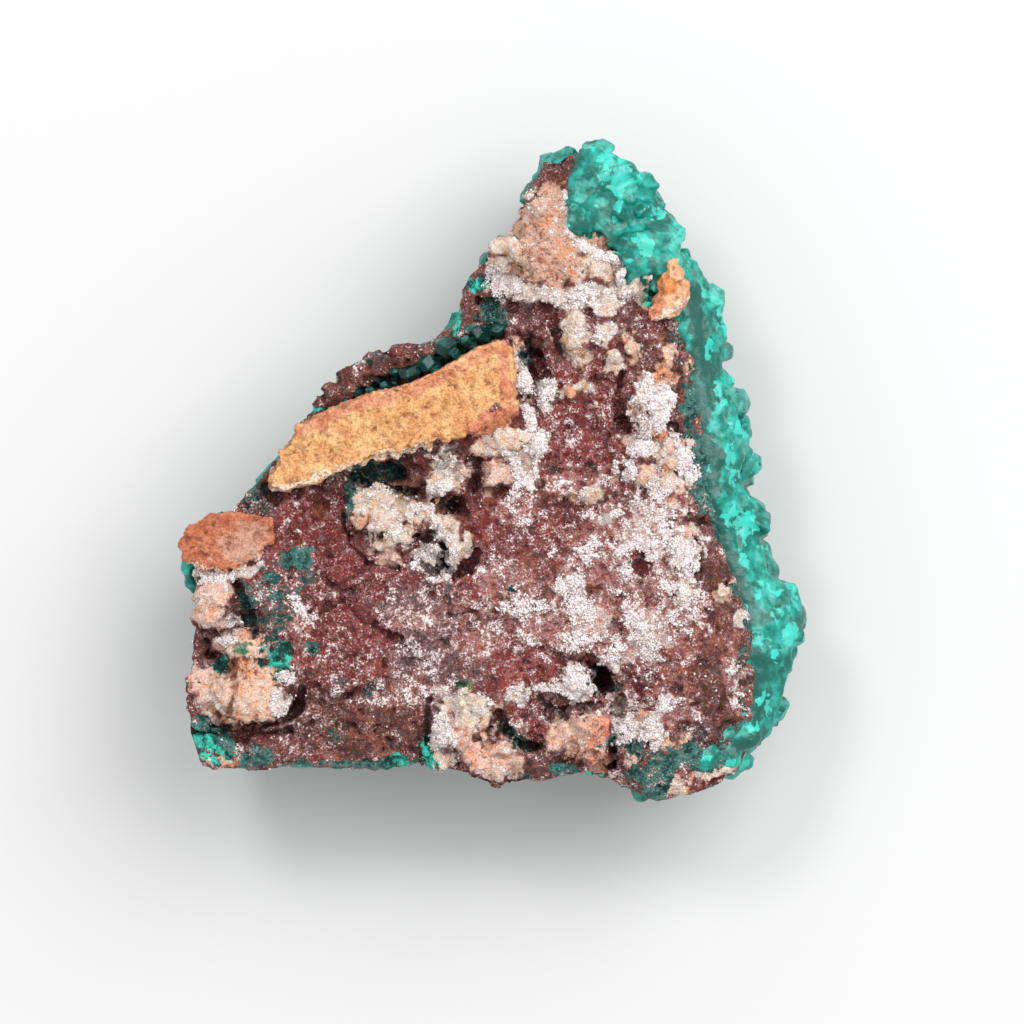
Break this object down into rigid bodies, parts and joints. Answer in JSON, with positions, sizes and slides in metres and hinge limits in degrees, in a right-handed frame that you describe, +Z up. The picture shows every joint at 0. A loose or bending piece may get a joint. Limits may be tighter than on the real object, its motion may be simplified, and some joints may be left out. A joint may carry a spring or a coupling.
{
  "type": "mineral specimen",
  "caption": "Wedge-shaped dioptase cluster on red-brown matrix, with an ochre slab and pale calcite crusts, lying flat to rest on a surface.",
  "frame": {"origin": "on the resting plane, under the middle of the outline seen from above", "axes": "+Z up, out of the face of the matrix; +Y towards the point of the specimen; +X towards its long dioptase side"},
  "size_m": [0.06, 0.0632, 0.023],
  "materials": {
    "matrix_rock": "rough red-brown rock with white calcite grains and pale pink crusts",
    "ochre": "granular yellow-orange ochre",
    "dioptase": "translucent blue-green crystal, glassy faces"
  },
  "bodies": {
    "root": {"matrix": "matrix_rock", "ochre_slab": "ochre", "ochre_chip_left": "ochre", "ochre_chip_upper": "ochre", "dioptase_druse": "dioptase", "dioptase_seam": "dioptase"}
  },
  "joints": []
}
